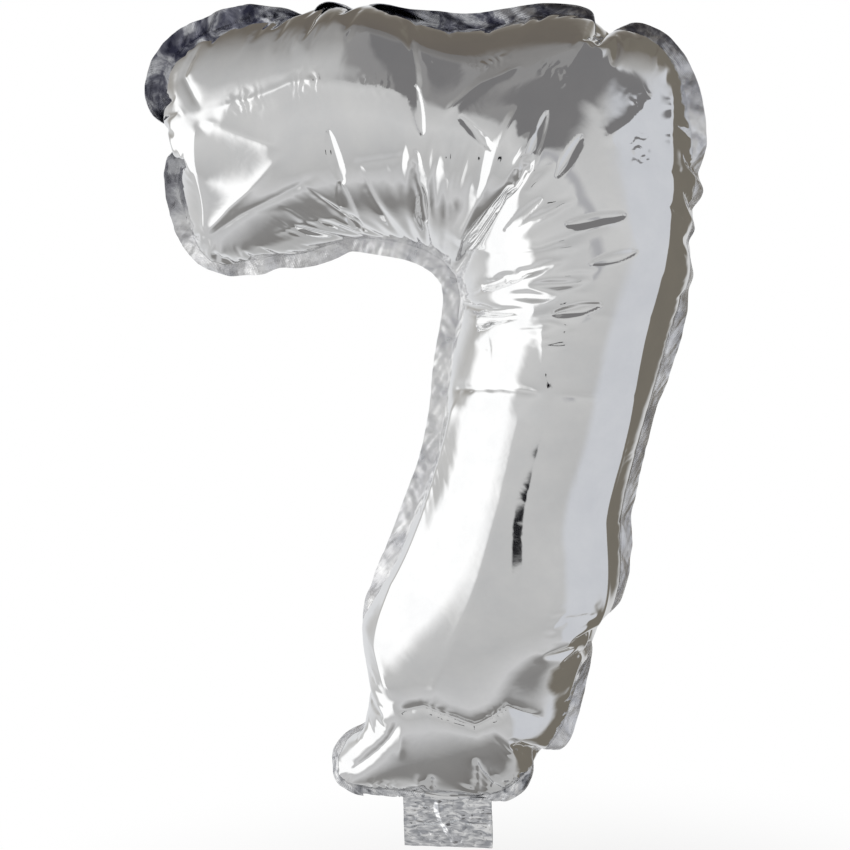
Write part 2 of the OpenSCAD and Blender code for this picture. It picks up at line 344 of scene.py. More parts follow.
def batches(pairs, rest, push, pull, weight):
    """Sorts the links into batches in which no point occurs twice, so each is solved at once."""
    used = [0] * len(weight)
    batch = np.zeros(len(pairs), int)
    for k, (a, b) in enumerate(pairs.tolist()):
        taken = used[a] | used[b]
        c = 0
        while taken >> c & 1:
            c += 1
        batch[k] = c
        used[a] |= 1 << c
        used[b] |= 1 << c
    out = []
    for c in range(batch.max() + 1):
        m = np.flatnonzero(batch == c)
        a, b = pairs[m, 0].copy(), pairs[m, 1].copy()
        total = weight[a] + weight[b]
        total[total == 0] = 1
        share_a, share_b = (weight[a] / total)[:, None], (weight[b] / total)[:, None]
        out.append((a, b, rest[m], push[m], pull[m], share_a, share_b))
    return out


def settle(p, links):
    """Moves the ends of each link towards its rest length: push when too short, pull when too long."""
    for a, b, rest, push, pull, share_a, share_b in links:
        d = p[a] - p[b]
        length = np.sqrt(np.einsum("ij,ij->i", d, d)) + 1e-12
        change = (length - rest) / length
        d *= (change * np.where(change > 0, pull, push))[:, None]
        p[a] -= d * share_a
        p[b] += d * share_b


DAMPING = 0.98            # speed kept from one step to the next


def blow(parts, flat, x, weight, steps, pressure, ramp):
    """Pressure on both panels against foil that hardly stretches but folds easily."""
    n = len(flat)
    panels = np.concatenate([parts["front"], parts["back"]])
    edges, pair = film_edges(np.concatenate([panels, parts["margin"]]))
    rest = np.linalg.norm(flat[edges[:, 0]] - flat[edges[:, 1]], axis=1)
    film = np.zeros(n, int)
    for bit, name in enumerate(("front", "back", "margin")):
        film[parts[name]] |= 1 << bit
    across = pair[pair[:, 1] >= 0]
    across = across[(film[across[:, 0]] & film[across[:, 1]]) > 0]
    span = np.linalg.norm(flat[across[:, 0]] - flat[across[:, 1]], axis=1)
    in_margin = ((film[across] & 4) > 0).all(1)
    stiff = np.where(in_margin, 0.2, 0.01)
    bends = batches(across, span, stiff, stiff * 0, weight)
    links = batches(edges, rest, np.full(len(edges), 0.5), np.ones(len(edges)), weight)
    corner = panels.reshape(-1)
    free = (weight > 0)[:, None]
    v = np.zeros_like(x)
    for s in range(steps):
        p0, p1, p2 = (x[panels[:, k]] for k in range(3))
        push = np.cross(p1 - p0, p2 - p0) * (pressure * min(1.0, (s + 1) / ramp) / 6)
        push = np.repeat(push, 3, axis=0)
        v += np.stack([np.bincount(corner, push[:, k], n) for k in range(3)], 1)
        v *= DAMPING * free
        p = x + v
        settle(p, bends)
        settle(p, links)
        v = p - x
        x = p
    return x


def split(parts, arrays):
    """Splits every triangle in four, with each array's value halfway at the new points."""
    faces = np.concatenate(list(parts.values()))
    e = np.sort(np.concatenate([faces[:, [0, 1]], faces[:, [1, 2]], faces[:, [2, 0]]]), 1)
    n = len(arrays[0])
    key = np.unique(e[:, 0].astype(np.int64) * n + e[:, 1])
    a, b = key // n, key % n
    out = [np.concatenate([v, (v[a] + v[b]) / 2]) for v in arrays]

    def middle(p, q):
        return n + np.searchsorted(key, np.minimum(p, q).astype(np.int64) * n + np.maximum(p, q))

    finer = {}
    for name, f in parts.items():
        m0, m1, m2 = middle(f[:, 0], f[:, 1]), middle(f[:, 1], f[:, 2]), middle(f[:, 2], f[:, 0])
        finer[name] = np.concatenate([
            np.stack([f[:, 0], m0, m2], 1), np.stack([m0, f[:, 1], m1], 1),
            np.stack([m2, m1, f[:, 2]], 1), np.stack([m0, m1, m2], 1)])
    return finer, out


def inflated():
    """Blows the flat films up, first coarse and then finer; the tail is held flat."""
    flat, side, parts = flat_films(np.random.default_rng(PATTERN_SEED))
    rng = np.random.default_rng(START_SEED)
    x = np.stack([flat[:, 0], side * 0.8 + rng.normal(0, 0.05, len(flat)), flat[:, 1]], 1)
    for level, (steps, pressure) in enumerate(BLOWING[:LEVELS]):
        if level:
            parts, (flat, x) = split(parts, [flat, x])
        held = flat[:, 1] < 0.5
        if level == 0:
            x[held, 1] = 0
        ramp = 60 if level == 0 else 1
        x = blow(parts, flat, x, np.where(held, 0.0, 1.0), steps, pressure, ramp)
    return flat, x, parts


def only_used(faces, x, flat):
    """The faces with just the points that they use."""
    used = np.unique(faces)
    at = np.full(len(x), -1)
    at[used] = np.arange(len(used))
    return at[faces], x[used], flat[used]


def sum_of_neighbours(a, b, p):
    """Each point's sum of the points that the edges a-b join it to."""
    ends = np.concatenate([a, b])
    return np.stack([np.bincount(ends, np.concatenate([p[b, k], p[a, k]]), len(p)) for k in range(3)], 1)


def loop_surface(faces, x, flat):
    """One Loop subdivision of a film: finer faces, smooth points, flat points."""
    f, p, q = only_used(faces, x, flat)
    edges, pair = film_edges(f)
    n = len(p)
    rim = pair[:, 1] < 0
    a, b = edges[:, 0], edges[:, 1]
    mid = (p[a] + p[b]) / 2
    inner = ~rim
    mid[inner] = 0.375 * (p[a] + p[b])[inner] + 0.125 * (p[pair[inner, 0]] + p[pair[inner, 1]])
    degree = np.bincount(np.concatenate([a, b]), minlength=n)
    around = sum_of_neighbours(a, b, p)
    beta = np.where(degree > 3, 3 / (8 * np.maximum(degree, 1)), 3 / 16)
    new = p * (1 - degree * beta)[:, None] + around * beta[:, None]
    on_rim = np.unique(edges[rim])
    new[on_rim] = 0.75 * p[on_rim] + 0.125 * sum_of_neighbours(a[rim], b[rim], p)[on_rim]
    key = a.astype(np.int64) * n + b

    def middle(u, w):
        return n + np.searchsorted(key, np.minimum(u, w).astype(np.int64) * n + np.maximum(u, w))

    m0, m1, m2 = middle(f[:, 0], f[:, 1]), middle(f[:, 1], f[:, 2]), middle(f[:, 2], f[:, 0])
    finer = np.concatenate([np.stack([f[:, 0], m0, m2], 1), np.stack([m0, f[:, 1], m1], 1),
                            np.stack([m2, m1, f[:, 2]], 1), np.stack([m0, m1, m2], 1)])
    return finer, np.concatenate([new, mid]), np.concatenate([q, (q[a] + q[b]) / 2])


def pulled(x):
    """Pulls the blown-up figure smoothly at a few places; the tail's plane stays where it is."""
    place, pull = np.array(PULLS, float)[:, :2], np.array(PULLS, float)[:, 2:]
    w = np.exp(-((x[:, None, [0, 2]] - place[None]) ** 2).sum(-1) / (2 * PULL_REACH ** 2))
    w /= np.maximum(w.sum(1)[:, None], 1.0)
    w *= np.clip(x[:, 2:3] / 6, 0, 1)
    out = x.copy()
    out[:, [0, 2]] += w @ pull
    grown = 1 + (SWELL - 1) * np.clip(out[:, 2] / 25, 0, 1)
    out[:, 0] *= grown
    out[:, 2] = np.where(out[:, 2] > 0, out[:, 2] * SWELL, out[:, 2])
    return out


def along_line(line, q):
    """Each point's distance from a line of straights, its place along it, and the line's length."""
    best = np.full(len(q), 1e9)
    run = np.zeros(len(q))
    total = 0.0
    for p0, p1 in zip(np.array(line[:-1], float), np.array(line[1:], float)):
        e = p1 - p0
        length = np.linalg.norm(e)
        t = (q - p0) @ e / length
        held = np.clip(t, 0, length)
        d = np.linalg.norm(q - (p0 + held[:, None] * e / length), axis=1)
        closer = d < best
        best = np.where(closer, d, best)
        run = np.where(closer, total + held, run)
        total += length
    return best, run, total


def distance_box(line, q):
    """Each point's distance from the box round a line."""
    low, high = np.min(line, axis=0), np.max(line, axis=0)
    return np.linalg.norm(np.maximum(np.maximum(low - q, q - high), 0), axis=1)


KINK_ROUNDING = 0.8       # radius of a ridge's crest, mm
RIPPLE_PITCH = 4.3        # mean length of a crinkle's ripples, mm


def ridge_height(width, across):
    """Height 1 on the line: a steep slope close to it and a gentle one further out."""
    rounded = np.sqrt(across ** 2 + KINK_ROUNDING ** 2) - KINK_ROUNDING
    return 0.55 * np.exp(-rounded / (0.42 * max(width, 3.0))) + 0.45 * np.exp(-rounded / (0.9 * width))


def lens_height(width, across, run, total):
    half = width * np.sqrt(np.maximum(np.sin(math.pi * run / total), 0)) + 1e-3
    return np.maximum(1 - (across / half) ** 2, 0)


def crinkle_height(width, across, run, wander, phase):
    """Ripples of uneven length that come and go along the line."""
    uneven = run + 1.6 * wander + 1.9 * np.sin(run * 0.37) + 1.1 * np.sin(run * 0.83 + 1.0)
    patchy = np.clip(0.35 + 0.8 * np.sin(run * 0.23 + phase), 0, 1)
    return np.sin(2 * math.pi * uneven / RIPPLE_PITCH) * np.exp(-(across / width) ** 2) * patchy


def creased(p, n, q, shift=(0.0, 0.0), strength=1.0):
    """Presses the creases into a panel: p its points, n normals, q flat places."""
    height = np.zeros(len(p))
    wander = (0.7 * np.sin(q[:, 0] * 0.9 + 1.7 * np.sin(q[:, 1] * 0.31))
              + 0.4 * np.sin(q[:, 1] * 1.3 + q[:, 0] * 0.37))
    for kind, width, rise, line in CREASES:
        moved = [(a + shift[0], b + shift[1]) for a, b in line]
        near = np.flatnonzero(distance_box(moved, q) < 5 * width)
        across, run, total = along_line(moved, q[near])
        ends = np.clip(np.minimum(run, total - run) / min(8.0, total * 0.4), 0, 1)
        ends = ends * ends * (3 - 2 * ends)
        if kind == "ridge":
            if width < 4:
                across = np.maximum(across + 0.12 * wander[near], 0)
            height[near] += rise * ridge_height(width, across) * ends
        elif kind == "lens":
            height[near] += rise * lens_height(width, across, run, total)
        else:
            ripples = crinkle_height(width, across, run, wander[near], line[0][0])
            height[near] += rise * ripples * ends
    return p + n * (strength * height)[:, None]


# ---------------------------------------------------------------- meshes
def to_row(p):
    """Pattern millimetres to metres in the CAD frame."""
    return p * MM + np.array([TAIL_X, 0, FOLD_Z])


def make(name, points, faces, flat, material):
    """A smooth mesh piece. Its materials are laid out by each point's place on the flat film."""
    mesh = bpy.data.meshes.new(name)
    mesh.vertices.add(len(points))
    mesh.vertices.foreach_set("co", np.asarray(points, np.float32).ravel())
    mesh.loops.add(faces.size)
    mesh.loops.foreach_set("vertex_index", faces.astype(np.int32).ravel())
    mesh.polygons.add(len(faces))
    width = faces.shape[1]
    mesh.polygons.foreach_set("loop_start", np.arange(len(faces), dtype=np.int32) * width)
    mesh.polygons.foreach_set("use_smooth", np.ones(len(faces), bool))
    mesh.update(calc_edges=True)
    mesh.validate()
    place = mesh.attributes.new("flat_place", "FLOAT_VECTOR", "POINT")
    three = np.zeros((len(points), 3), np.float32)
    three[:, :2] = flat * MM
    place.data.foreach_set("vector", three.ravel())
    mesh.materials.append(material)
    obj = bpy.data.objects.new(name, mesh)
    bpy.context.scene.collection.objects.link(obj)
    return obj


def normals_of(faces, x):
    """Each point's normal, weighted by the area of the faces round it."""
    f = np.cross(x[faces[:, 1]] - x[faces[:, 0]], x[faces[:, 2]] - x[faces[:, 0]])
    n = np.zeros_like(x)
    for k in range(3):
        for c in range(3):
            n[:, c] += np.bincount(faces[:, k], f[:, c], len(x))
    return n / (np.linalg.norm(n, axis=1)[:, None] + 1e-12)


def thick(faces, x, flat, near, far):
    """A closed thin solid between two offsets of one surface along its normals."""
    f, p, q = only_used(faces, x, flat)
    n = normals_of(f, p)
    count = len(p)
    directed = np.concatenate([f[:, [0, 1]], f[:, [1, 2]], f[:, [2, 0]]])
    key = directed[:, 0].astype(np.int64) * count + directed[:, 1]
    back_key = directed[:, 1].astype(np.int64) * count + directed[:, 0]
    rim = directed[~np.isin(key, back_key)]
    a, b = rim[:, 0], rim[:, 1]
    m = len(rim)
    i = 2 * count + np.arange(m)
    walls = np.concatenate([np.stack([i + m, i, i + 2 * m], 1),
                            np.stack([i + m, i + 2 * m, i + 3 * m], 1)])
    outer, inner = p + n * far, p + n * near
    all_faces = np.concatenate([f, f[:, ::-1] + count, walls])
    points = np.concatenate([outer, inner, outer[a], outer[b], inner[a], inner[b]])
    return all_faces, points, np.concatenate([q, q, q[a], q[b], q[a], q[b]])


# ---------------------------------------------------------------- materials
def linear(v):
    """sRGB 0..255 to scene linear."""
    c = v / 255
    return c / 12.92 if c <= 0.04045 else ((c + 0.055) / 1.055) ** 2.4


def colour(r, g, b):
    return (linear(r), linear(g), linear(b), 1.0)


class Nodes:
    """Small helper for building node trees."""
    def __init__(self, tree):
        self.tree = tree

    def node(self, kind, **inputs):
        n = self.tree.nodes.new(kind)
        for key, value in inputs.items():
            self.put(n.inputs[key.replace("_", " ")], value)
        return n

    def put(self, socket, value):
        if isinstance(value, bpy.types.NodeSocket):
            self.tree.links.new(value, socket)
        elif value is not None:
            socket.default_value = value

    def math(self, operation, a, b=None, c=None, clamp=False):
        n = self.tree.nodes.new("ShaderNodeMath")
        n.operation = operation
        n.use_clamp = clamp
        for socket, value in zip(n.inputs, (a, b, c)):
            self.put(socket, value)
        return n.outputs[0]

    def smooth(self, value, low, high):
        n = self.tree.nodes.new("ShaderNodeMapRange")
        n.interpolation_type = "SMOOTHSTEP"
        self.put(n.inputs["Value"], value)
        n.inputs["From Min"].default_value = low
        n.inputs["From Max"].default_value = high
        return n.outputs["Result"]

    def mix(self, factor, a, b):
        n = self.tree.nodes.new("ShaderNodeMix")
        n.data_type = "RGBA"
        self.put(n.inputs[0], factor)
        self.put(n.inputs[6], a)
        self.put(n.inputs[7], b)
        return n.outputs[2]

    def ramp(self, value, stops, interpolation="LINEAR"):
        n = self.tree.nodes.new("ShaderNodeValToRGB")
        n.color_ramp.interpolation = interpolation
        band = n.color_ramp.elements
        while len(band) < len(stops):
            band.new(0.5)
        for e, (at, c) in zip(band, stops):
            e.position = at
            e.color = c
        self.put(n.inputs[0], value)
        return n.outputs[0]

    def noise(self, vector, scale, detail=2.0, roughness=0.5, distortion=0.0):
        n = self.tree.nodes.new("ShaderNodeTexNoise")
        self.put(n.inputs["Vector"], vector)
        n.inputs["Scale"].default_value = scale
        n.inputs["Detail"].default_value = detail
        n.inputs["Roughness"].default_value = roughness
        n.inputs["Distortion"].default_value = distortion
        return n.outputs["Fac"]

    def bump(self, height, distance, strength=1.0, normal=None):
        n = self.tree.nodes.new("ShaderNodeBump")
        n.inputs["Strength"].default_value = strength
        n.inputs["Distance"].default_value = distance
        self.put(n.inputs["Height"], height)
        if normal is not None:
            self.put(n.inputs["Normal"], normal)
        return n.outputs[0]


def new_material(name):
    material = bpy.data.materials.new(name)
    material.use_nodes = True
    nodes = Nodes(material.node_tree)
    shader = material.node_tree.nodes["Principled BSDF"]
    return material, nodes, shader


def flat_place(nodes):
    n = nodes.node("ShaderNodeAttribute")
    n.attribute_name = "flat_place"
    return n.outputs["Vector"]


def foil_material():
    """Vacuum-metallised film: a near-perfect mirror with faint rolling waves and micro-crinkles."""
    material, nodes, shader = new_material("mirror_foil")
    place = flat_place(nodes)
    shader.inputs["Metallic"].default_value = 1.0
    dust = nodes.noise(place, 60.0, 4.0, 0.6)
    tint = nodes.ramp(dust, [(0.3, (0.86, 0.865, 0.87, 1)), (0.7, (0.93, 0.93, 0.925, 1))])
    nodes.put(shader.inputs["Base Color"], tint)
    nodes.put(shader.inputs["Roughness"], nodes.ramp(nodes.noise(place, 25.0, 3.0), [
        (0.3, (0.03, 0.03, 0.03, 1)), (0.75, (0.075, 0.075, 0.075, 1))]))
    wave = nodes.noise(place, 90.0, 2.0, 0.5, 0.6)
    fine = nodes.noise(place, 420.0, 3.0, 0.6)
    height = nodes.math("MULTIPLY_ADD", fine, 0.06, wave)
    nodes.put(shader.inputs["Normal"], nodes.bump(height, 0.00008, 0.8))
    return material


def glints(nodes, place, painted_shade, stretch):
    """Painted glints of hard-crumpled foil: spots of painted highlight and painted shade in the colour,
    standing in for small facets that catch or miss the light.
    """
    squeezed = nodes.node("ShaderNodeVectorMath", Vector=place)
    squeezed.operation = "MULTIPLY"
    squeezed.inputs[1].default_value = (1.0, stretch, 1.0)
    glint_noise = nodes.noise(squeezed.outputs[0], 190.0, 1.0, 0.5, 1.2)
    return nodes.ramp(glint_noise, [
        (0.33, painted_shade), (0.45, colour(204, 205, 208)),
        (0.57, colour(232, 233, 235)), (0.64, (1.0, 1.0, 1.0, 1))])


EMBOSSING = 0.9           # pitch of the grid pressed into the weld, mm


def margin_material():
    """The weld: foil pressed with a fine square grid, duller and stained, with painted shade darkening its
    top and painted glints at the foot.
    """
    material, nodes, shader = new_material("embossed_margin_foil")
    place = flat_place(nodes)
    shader.inputs["Metallic"].default_value = 1.0
    stain = nodes.noise(place, 70.0, 4.0, 0.65, 0.4)
    pale = nodes.ramp(stain, [
        (0.32, colour(196, 197, 201)), (0.46, colour(232, 232, 234)), (0.62, colour(252, 252, 252))])
    # Painted shade: the dark blue-grey that the margin is painted along its top, varied by the stain
    # noise.
    painted_shade = nodes.ramp(stain, [
        (0.40, colour(62, 63, 80)), (0.49, colour(124, 125, 136)), (0.58, colour(214, 215, 219))])
    along = nodes.node("ShaderNodeSeparateXYZ", Vector=place)
    lobes = nodes.noise(place, 24.0, 1.0)
    high = nodes.math("MULTIPLY_ADD", nodes.math("SUBTRACT", lobes, 0.5), 0.06, along.outputs[1])
    # Above a wavy height on the pattern, the stained pale tone gives way to the painted shade.
    stains_and_painted_top_shade = nodes.mix(nodes.smooth(high, 0.290, 0.335), pale, painted_shade)
    # Painted glints: near the foot the colour turns to spots of painted highlight and painted shade.
    at_foot = nodes.math("SUBTRACT", 1.0, nodes.smooth(along.outputs[1], 0.008, 0.030))
    painted_foot_glints = glints(nodes, place, colour(118, 120, 126), 1.0)
    nodes.put(shader.inputs["Base Color"], nodes.mix(at_foot, stains_and_painted_top_shade, painted_foot_glints))
    nodes.put(shader.inputs["Roughness"], nodes.ramp(stain, [
        (0.3, (0.30, 0.30, 0.30, 1)), (0.7, (0.16, 0.16, 0.16, 1))]))
    waves = 2 * math.pi / (EMBOSSING * MM)
    rows = [nodes.math("SINE", nodes.math("MULTIPLY", along.outputs[k], waves)) for k in (0, 1)]
    grid = nodes.math("MULTIPLY", rows[0], rows[1])
    lumps = nodes.noise(place, 160.0, 3.0, 0.6)
    pressed = nodes.bump(grid, 0.00006, 0.8)
    nodes.put(shader.inputs["Normal"], nodes.bump(lumps, 0.0006, 0.8, pressed))
    return material


def tail_material():
    """The tail's foil: thin, limp and crumpled, the same over the weld along both sides."""
    material, nodes, shader = new_material("crumpled_tail_foil")
    place = flat_place(nodes)
    shader.inputs["Metallic"].default_value = 1.0
    stain = nodes.noise(place, 90.0, 4.0, 0.6)
    # Painted glints: the tail's colour is spots of painted highlight and painted shade, drawn out
    # sideways.
    nodes.put(shader.inputs["Base Color"], glints(nodes, place, colour(176, 178, 183), 2.6))
    nodes.put(shader.inputs["Roughness"], nodes.ramp(stain, [
        (0.3, (0.18, 0.18, 0.18, 1)), (0.7, (0.07, 0.07, 0.07, 1))]))
    crumple = nodes.noise(place, 170.0, 3.0, 0.55, 0.5)
    nodes.put(shader.inputs["Normal"], nodes.bump(crumple, 0.0008, 0.8))
    return material


def valve_material():
    """Thin milky plastic film of the hidden valve and the liners of the gas channel."""
    material, nodes, shader = new_material("milky_valve_film")
    where = nodes.node("ShaderNodeTexCoord").outputs["Object"]
    cloud = nodes.noise(where, 120.0, 3.0)
    nodes.put(shader.inputs["Base Color"], nodes.ramp(cloud, [
        (0.3, colour(214, 218, 222)), (0.7, colour(240, 242, 244))]))
    nodes.put(shader.inputs["Roughness"], nodes.ramp(cloud, [
        (0.3, (0.28, 0.28, 0.28, 1)), (0.7, (0.42, 0.42, 0.42, 1))]))
    shader.inputs["Transmission Weight"].default_value = 0.35
    nodes.put(shader.inputs["Normal"], nodes.bump(cloud, 0.0003, 0.5))
    return material


FOIL = foil_material()
MARGIN = margin_material()
TAIL = tail_material()
VALVE = valve_material()

# ---------------------------------------------------------------- the figure
CRIMP = 0.35              # how far the margin waves out of its plane, mm
MARGIN_NEAR, MARGIN_FAR = 0.02, 0.14    # each margin film, from the middle of the weld, mm


def panel(name, faces, shift, strength):
    f, p, q = loop_surface(faces, x, flat)
    p = creased(p, normals_of(f, p), q, shift, strength)
    above_fold = f[(q[f][:, :, 1] > 0).all(1)]
    f, p, q = only_used(above_fold, p, q)
    obj = make("foil_" + name, to_row(p), f, q, FOIL)
    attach(obj, "figure")
    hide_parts(name)


def facing_front(faces):
    """The margin's faces that belong to the figure, turned so that their normals point to -Y."""
    in_figure = faces[(flat[faces][:, :, 1] > -0.01).all(1)]
    y = normals_of(in_figure, x)[in_figure[:, 0], 1].mean()
    return in_figure if y < 0 else in_figure[:, ::-1]


def margin(name, faces):
    f, p, q = loop_surface(faces, x, flat)
    a, b = q[:, 0], q[:, 1]
    crimp = np.sin(a * 0.83 + 1.3 * np.sin(b * 0.45)) * np.sin(b * 0.71 + 1.1 * np.sin(a * 0.39))
    crimp = crimp + 0.5 * np.sin(a * 1.9 - b * 1.4 + 1.0)
    away = np.clip(distance_to(weld_line, q) / 3.0, 0, 1)
    p = p + np.array([0, 1, 0]) * (CRIMP * crimp * away)[:, None]
    f, p, q = thick(f, p, q, MARGIN_NEAR, MARGIN_FAR)
    obj = make("welded_" + name, to_row(p), f, q, MARGIN)
    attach(obj, "figure")
    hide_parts(name)


flat, x, parts = inflated()
x = pulled(x)
weld_line = flat[:len(weld_ring())]
panel("front_panel", parts["front"], (0, 0), 1.0)
panel("back_panel", parts["back"], (-3, 4), 0.8)
front_faces = facing_front(parts["margin"])
margin("front_margin", front_faces)
margin("back_margin", front_faces[:, ::-1])

# ---------------------------------------------------------------- the tail
# Soft kinks in the tail: half width, height and a line, mm from the tail's middle and fold line.
TAIL_CREASES = [
    (1.4, 0.95, [(-4, 0), (-3, -8), (4, -20)]),
    (1.0, 0.60, [(10, -13), (6, -21)]),
    (0.9, -0.35, [(-19, -11), (-6, -12), (3, -10), (19, -12)]),
    (0.8, 0.45, [(5, -10), (8, -7)]),
    (0.8, 0.40, [(10, -10), (12, -6)]),
    (0.9, 0.45, [(14, -9), (16, -4)]),
    (0.8, -0.35, [(-16, -2), (-8, -4)]),
    (1.1, 0.35, [(-14, -14), (-9, -19)]),
    (0.8, 0.35, [(3, -4), (12, -3)]),
]


TAIL_CELL = 0.35          # spacing of points over the tail, mm
RIB_PITCH = 2.6           # pitch of the raised bars in the tail's heat seal, mm
LEAF_APART = 0.32         # each tail leaf from the middle plane, mm
LINER_APART = 0.05        # each liner from the middle plane, mm
LEAF_T, LINER_T = 0.06, 0.05
OVERLAP = 1.2             # how far the tail's films reach up over the figure's foot, mm


def tail_sheet(top, bottom, sign, half=TAIL_HALF, apart=LEAF_APART, pressed=True):
    """One tail film between two heights, mm above the fold line. With pressed it has the creases
    and the ribs of the heat seal; without, only the crumple that all the tail's films share."""
    across = int(round(2 * half / TAIL_CELL))
    down = max(2, int(round((top - bottom) / TAIL_CELL)))
    u = np.linspace(-half, half, across + 1)
    w = np.linspace(top, bottom, down + 1)
    gx, gz = np.meshgrid(u, w)
    welded = np.clip((np.abs(gx + 2) - 4.5) / 1.5, 0, 1) * np.clip((gz + 11.5) / 1.0, 0, 1)
    ribs = 0.16 * np.cos(2 * math.pi * gz / RIB_PITCH + 0.5 * np.sin(gx * 0.5)) * welded
    crumple = (0.50 * np.sin(gx * 0.21 + 0.9) * np.sin(gz * 0.17 + 0.5)
               + 0.20 * np.sin(gx * 0.55 + gz * 0.30 + 1.1) + 0.07 * np.sin(gx * 1.1 - gz * 0.7))
    fade = np.clip(-gz / 4, 0, 1)
    q = np.stack([gx, gz], -1).reshape(-1, 2)
    bulge = np.zeros(len(q))
    for width, rise, line in TAIL_CREASES:
        away, run, total = along_line(line, q)
        ends = np.clip(np.minimum(run, total - run) / 1.5, 0, 1)
        bulge += rise * np.exp(-(away / width) ** 2) * ends
    bulge = bulge.reshape(gx.shape)
    y = crumple * fade + sign * apart
    if pressed:
        y += sign * (bulge * np.clip(-gz / 1.5, 0, 1) + ribs * fade)
    slant = 0.012 * (gx + TAIL_HALF) * np.clip(-gz / TAIL_LEN, 0, 1)
    points = np.stack([gx, y, gz + slant], -1).reshape(-1, 3)
    flat_points = np.stack([gx, gz], -1).reshape(-1, 2)
    i = np.arange(down)[:, None] * (across + 1) + np.arange(across)[None]
    i = i.reshape(-1)
    quads = np.stack([i, i + 1, i + across + 2, i + across + 1], 1)
    tris = np.concatenate([quads[:, [0, 1, 2]], quads[:, [0, 2, 3]]])
    if sign < 0:
        tris = tris[:, ::-1]
    return tris, points, flat_points


def tail_piece(name, sheet, thickness, material):
    f, p, q = thick(*sheet, 0.0, thickness)
    return make(name, to_row(p), f, q, material)


def leaf_and_lip(word, sign):
    """The tail's film down to the mouth, and the lip below it that a straw parts."""
    lip_top = (LIP_Z - FOLD_Z) / MM
    leaf = tail_piece("tail_" + word + "_film", tail_sheet(OVERLAP, lip_top, sign), LEAF_T, TAIL)
    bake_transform(leaf)
    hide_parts("tail_" + word + "_leaf")
    lip = tail_piece("mouth_" + word + "_edge", tail_sheet(lip_top, -TAIL_LEN, sign), LEAF_T, TAIL)
    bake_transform(lip)
    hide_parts("mouth_" + word + "_lip")


def lining(word, sign):
    """The valve film inside the tail, crumpled with it."""
    low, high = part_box("tail_" + word + "_liner")
    half = (high.x - low.x) / 2 / MM
    top, bottom = (high.z - FOLD_Z) / MM, (low.z - FOLD_Z) / MM
    sheet = tail_sheet(top, bottom, sign, half, LINER_APART, False)
    liner = tail_piece("tail_" + word + "_lining", sheet, LINER_T, VALVE)
    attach(liner, "tail")
    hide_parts("tail_" + word + "_liner")


for word, sign in (("front", -1), ("back", 1)):
    leaf_and_lip(word, sign)
for word, sign in (("front", -1), ("back", 1)):
    lining(word, sign)

for name in ("valve_weld_strips", "valve_front_film", "valve_back_film"):
    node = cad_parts[name]
    node.data.materials.clear()
    node.data.materials.append(VALVE)

# ---------------------------------------------------------------- studio
def studio_world():
    """White behind the object; for everything it mirrors, a soft studio described by direction."""
    world = bpy.data.worlds.new("studio")
    bpy.context.scene.world = world
    world.use_nodes = True
    tree = world.node_tree
    tree.nodes.clear()
    nodes = Nodes(tree)
    direction = nodes.node("ShaderNodeTexCoord").outputs["Generated"]
    parts_of = nodes.node("ShaderNodeSeparateXYZ", Vector=direction)
    dx, dy, dz = (parts_of.outputs[k] for k in range(3))
    front = nodes.math("MULTIPLY", dy, -1.0)
    turn = nodes.math("MULTIPLY", nodes.math("ARCTAN2", dx, front), 180 / math.pi)
    rise = nodes.math("MULTIPLY", nodes.math("ARCSINE", dz), 180 / math.pi)

    def band(value, low, high, soft):
        return nodes.math("MULTIPLY", nodes.smooth(value, low - soft, low + soft),
                          nodes.math("SUBTRACT", 1.0, nodes.smooth(value, high - soft, high + soft)))

    def window(turn_range, rise_range, soft):
        return nodes.math("MULTIPLY", band(turn, *turn_range, soft), band(rise, *rise_range, soft))

    def at(degrees):
        return (degrees + 90) / 180

    height = nodes.math("MULTIPLY_ADD", rise, 1 / 180, 0.5)
    in_front = nodes.ramp(height, [
        (0.0, colour(120, 118, 116)), (at(-66), colour(140, 139, 138)),
        (at(-50), colour(206, 206, 207)), (at(-32), colour(190, 190, 190)), (at(6), colour(208, 208, 208)),
        (at(32), colour(190, 190, 190)), (at(50), colour(158, 157, 156)), (1.0, colour(118, 116, 115))])
    behind = nodes.ramp(height, [
        (0.0, colour(176, 176, 176)), (at(-5), colour(212, 212, 212)), (at(20), colour(150, 145, 137)),
        (at(50), colour(112, 106, 98)), (1.0, colour(108, 102, 96))])
    tone = nodes.mix(nodes.smooth(nodes.math("ABSOLUTE", turn), 75, 125), in_front, behind)
    # Windows, walls and gaps of the room: range of turn, range of rise, softness of the edge, all
    # in degrees, and the light there.
    patches = [
        ((-96, -44), (-36, 26), 5.0, (1.12, 1.12, 1.12, 1)),
        ((52, 108), (-50, 34), 7.0, colour(207, 209, 214)),
        ((110, 156), (-60, 60), 6.0, colour(118, 113, 104)),
        ((166, 200), (-60, 36), 5.0, colour(214, 214, 214)),
        ((-178, -118), (-60, 30), 12.0, colour(226, 227, 229)),
        ((-30, 80), (30, 80), 4.0, colour(146, 145, 145)),
        ((-12, 80), (24, 80), 3.0, colour(122, 121, 122)),
        ((-10, -2), (-18.0, -15.0), 0.8, colour(20, 20, 24)),
        ((18, 28), (-8, 22), 4.0, colour(176, 176, 179)),
    ]
    for turn_range, rise_range, soft, light in patches:
        tone = nodes.mix(window(turn_range, rise_range, soft), tone, light)
    seen = nodes.node("ShaderNodeLightPath").outputs["Is Camera Ray"]
    white = nodes.node("ShaderNodeBackground")
    white.inputs["Color"].default_value = (1, 1, 1, 1)
    room = nodes.node("ShaderNodeBackground", Color=tone)
    chosen = nodes.node("ShaderNodeMixShader")
    nodes.put(chosen.inputs[0], seen)
    nodes.put(chosen.inputs[1], room.outputs[0])
    nodes.put(chosen.inputs[2], white.outputs[0])
    output = nodes.node("ShaderNodeOutputWorld")
    nodes.put(output.inputs["Surface"], chosen.outputs[0])


FLOOR_Z = -0.44


